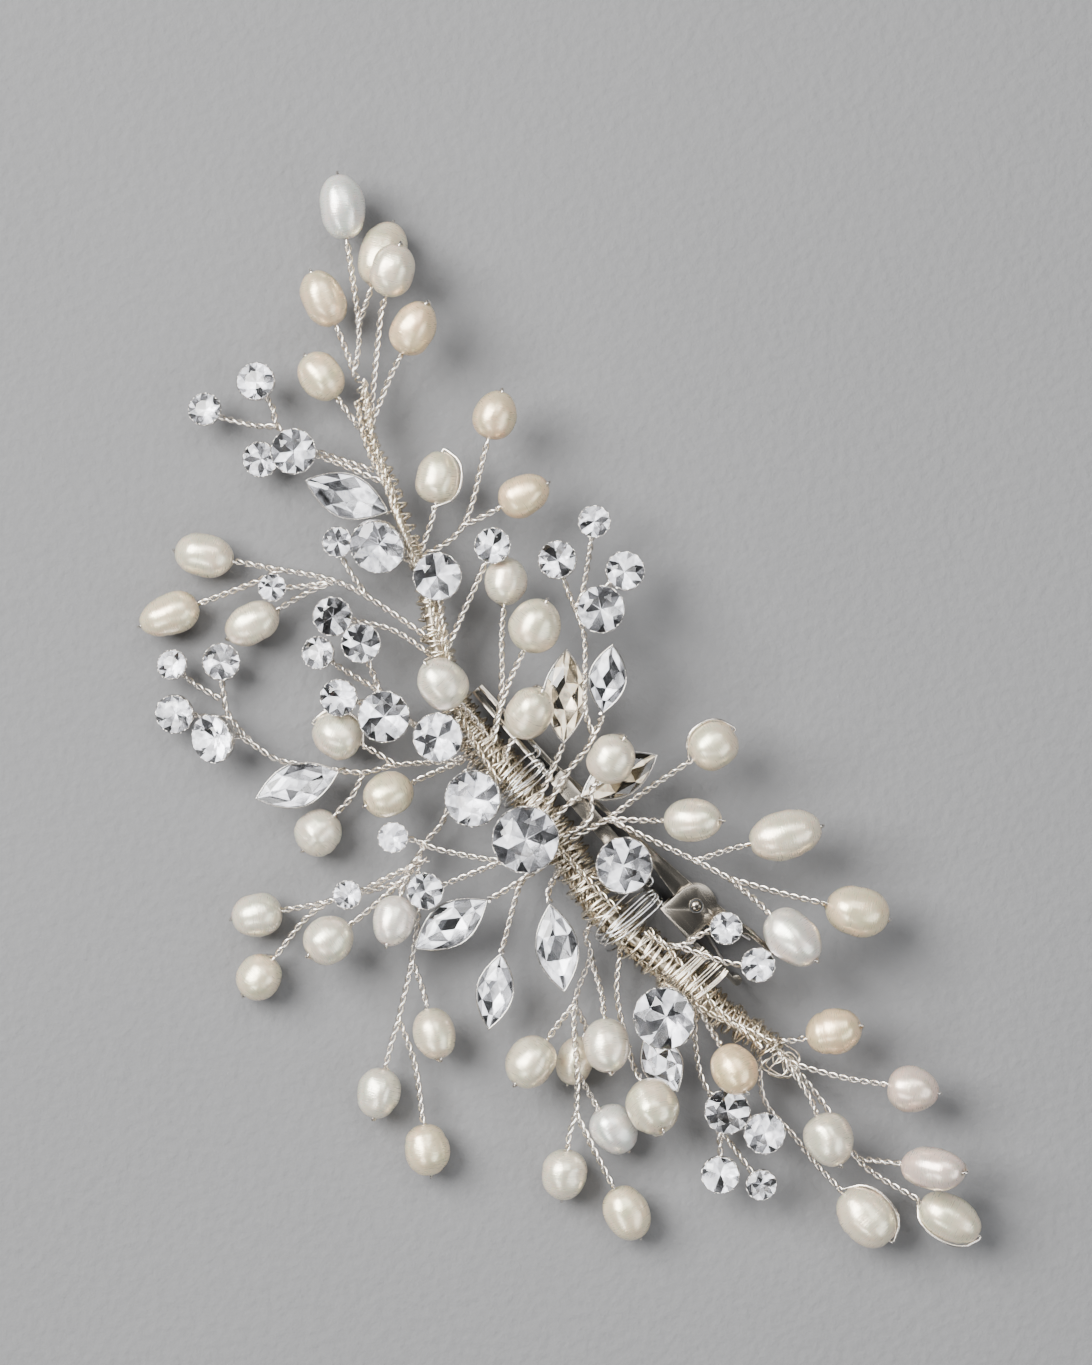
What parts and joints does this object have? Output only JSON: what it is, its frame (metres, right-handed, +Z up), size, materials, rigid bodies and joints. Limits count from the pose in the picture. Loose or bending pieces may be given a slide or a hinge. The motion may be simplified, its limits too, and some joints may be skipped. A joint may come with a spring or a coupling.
{
  "type": "decorative hair clip",
  "caption": "Bridal hair ornament: freshwater pearls and set crystals on twisted wire stems, bound to a sprung alligator clip.",
  "frame": {"origin": "on the clip base's flat lower side, halfway along the clip, below the line where the jaws meet", "axes": "+X along the clip from the jaw tips to the finger tabs, which is also the spray's long way; +Y across the base bar towards the lever; +Z up, parallel to the pivot pin, away from the surface it lies on"},
  "size_m": [0.1405, 0.0721, 0.0144],
  "materials": {
    "nickel": "polished nickel-plated steel, faint lengthwise rubbing",
    "spring": "drawn spring wire",
    "wire": "silver-plated craft wire, warm tinge, twisted",
    "lashing": "bright silver-plated wire",
    "setting": "silver-plated stamped cup",
    "crystal": "machine-cut, foiled behind",
    "pearl": "nacre, soft lustre with fine rings"
  },
  "bodies": {
    "clip_and_spray": {"clip_base": "nickel", "pivot_pin": "nickel", "torsion_spring": "spring", "clip_binding_front": "lashing", "clip_binding_rear": "lashing", "spine_core": "wire", "spine_wrap": "wire", "tip_stems": "wire", "tip_pearls": "pearl", "left_fan_stems": "wire", "left_fan_crystals": "crystal", "left_fan_settings": "setting", "right_fan_stems": "wire", "right_fan_pearls": "pearl", "right_fan_crystals": "crystal", "right_fan_settings": "setting", "left_drop_stems": "wire", "left_drop_pearls": "pearl", "left_drop_crystals": "crystal", "left_drop_settings": "setting", "left_row_stems": "wire", "left_row_crystals": "crystal", "left_row_settings": "setting", "curl_stems": "wire", "curl_pearls": "pearl", "curl_crystals": "crystal", "curl_settings": "setting", "heart_stems": "wire", "heart_pearls": "pearl", "heart_crystals": "crystal", "heart_settings": "setting", "crest_stems": "wire", "crest_crystals": "crystal", "crest_settings": "setting", "wing_stems": "wire", "wing_pearls": "pearl", "wing_crystals": "crystal", "wing_settings": "setting", "focal_stems": "wire", "focal_crystals": "crystal", "focal_settings": "setting", "low_spray_stems": "wire", "low_spray_pearls": "pearl", "low_spray_crystals": "crystal", "low_spray_settings": "setting", "leaf_stems": "wire", "leaf_crystals": "crystal", "leaf_settings": "setting", "low_bunch_stems": "wire", "low_bunch_pearls": "pearl", "side_stems": "wire", "side_pearls": "pearl", "side_crystals": "crystal", "side_settings": "setting", "tail_stems": "wire", "tail_pearls": "pearl"},
    "lever": {"clip_lever": "nickel", "spring_lever_leg": "spring"}
  },
  "joints": [
    {"name": "lever_pivot", "type": "hinge", "parent": "clip_and_spray", "child": "lever", "pos_m": [0.0125, 0.0021, 0], "axis": [0, 0, -1], "range_deg": [0, 20], "stiffness_Nm_per_rad": 0.02, "springref_deg": -34.38}
  ]
}
